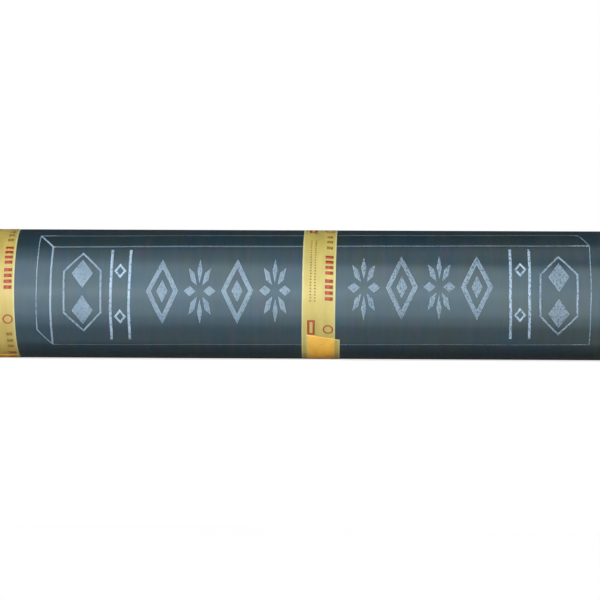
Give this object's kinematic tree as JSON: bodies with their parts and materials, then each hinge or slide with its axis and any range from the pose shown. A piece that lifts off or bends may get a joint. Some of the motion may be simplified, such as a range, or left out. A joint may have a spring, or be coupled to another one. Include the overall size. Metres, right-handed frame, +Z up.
{
  "type": "roll of self-adhesive bitumen membrane",
  "caption": "Roll of dark self-adhesive bitumen waterproofing sheet lying on its side, held shut by yellow adhesive tape bands, with a through bore.",
  "frame": {"origin": "on the floor, under the middle of the roll's length and under its axis", "axes": "+X along the roll's axis, from the left end to the right end of the picture; -Y is the printed front; +Z up"},
  "size_m": [1, 0.1898, 0.1888],
  "materials": {
    "membrane": "satin",
    "tape": "gloss"
  },
  "bodies": {
    "root": {"membrane_roll": "membrane", "tape_band_left": "tape", "tape_band_middle": "tape", "tape_band_right": "tape"}
  },
  "joints": []
}
